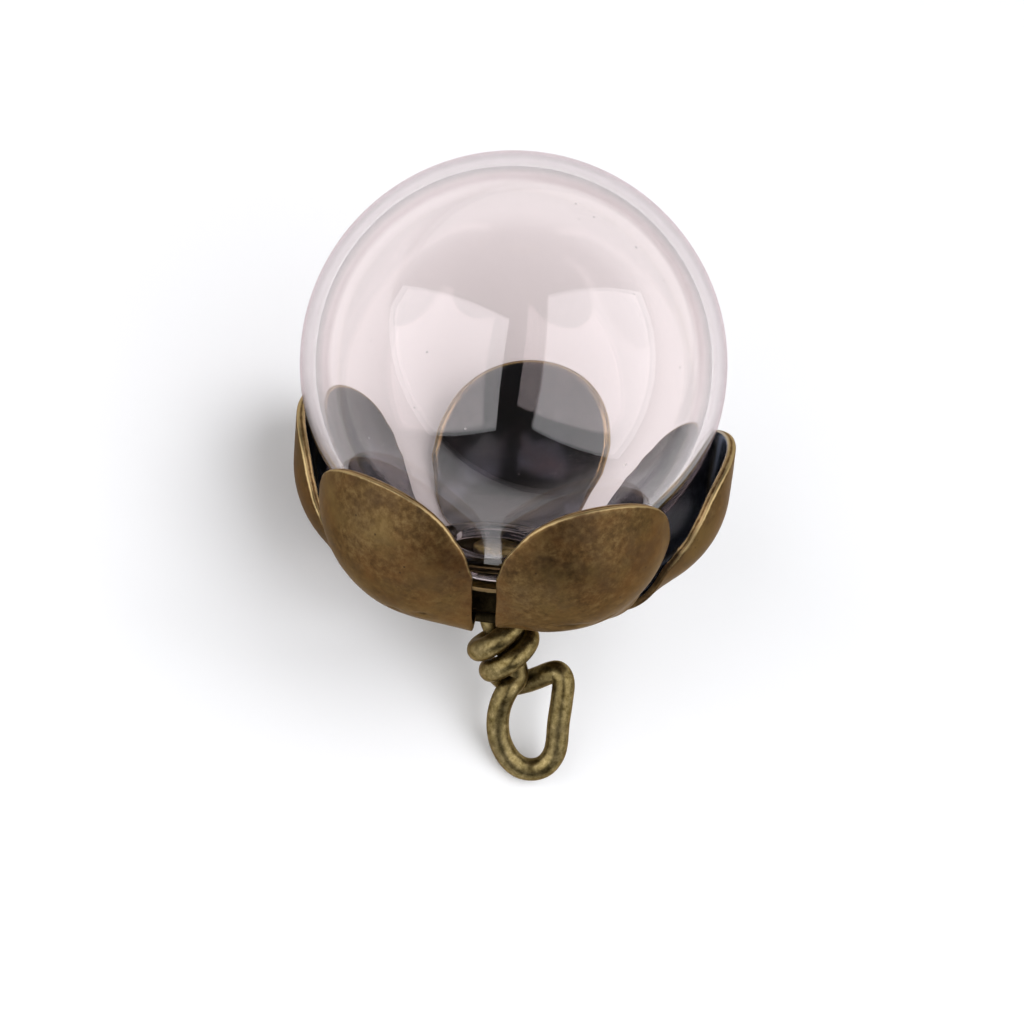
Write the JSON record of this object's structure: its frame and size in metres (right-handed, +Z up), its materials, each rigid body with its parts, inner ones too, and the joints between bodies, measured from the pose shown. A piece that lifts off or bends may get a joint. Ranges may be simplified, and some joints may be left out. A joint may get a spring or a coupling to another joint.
{
  "type": "bottle pendant",
  "caption": "Small pendant: a hollow blown glass globe whose mouth stands in a bronze flower cap with cupped petals, and a bent wire below it that ends in a hanging loop.",
  "frame": {"origin": "middle of the box round the pendant as it lies, on the surface it lies on", "axes": "+Z up; +Y level, the way the globe points as seen from above, with the hanging loop towards -Y; +X level and across"},
  "size_m": [0.0206, 0.0273, 0.022],
  "materials": {
    "clear_glass": "thin clear blown glass with a faint pink tint, smooth, with a few dust specks",
    "cap_bronze": "antiqued bronze-coloured sheet, mottled brown, worn bright on its edges and blackened inside",
    "wire_bronze": "antiqued bronze-coloured wire, worn bright on its outer bends"
  },
  "bodies": {
    "root": {"glass_globe": "clear_glass", "flower_cap": "cap_bronze", "wire_loop": "wire_bronze"}
  },
  "joints": []
}
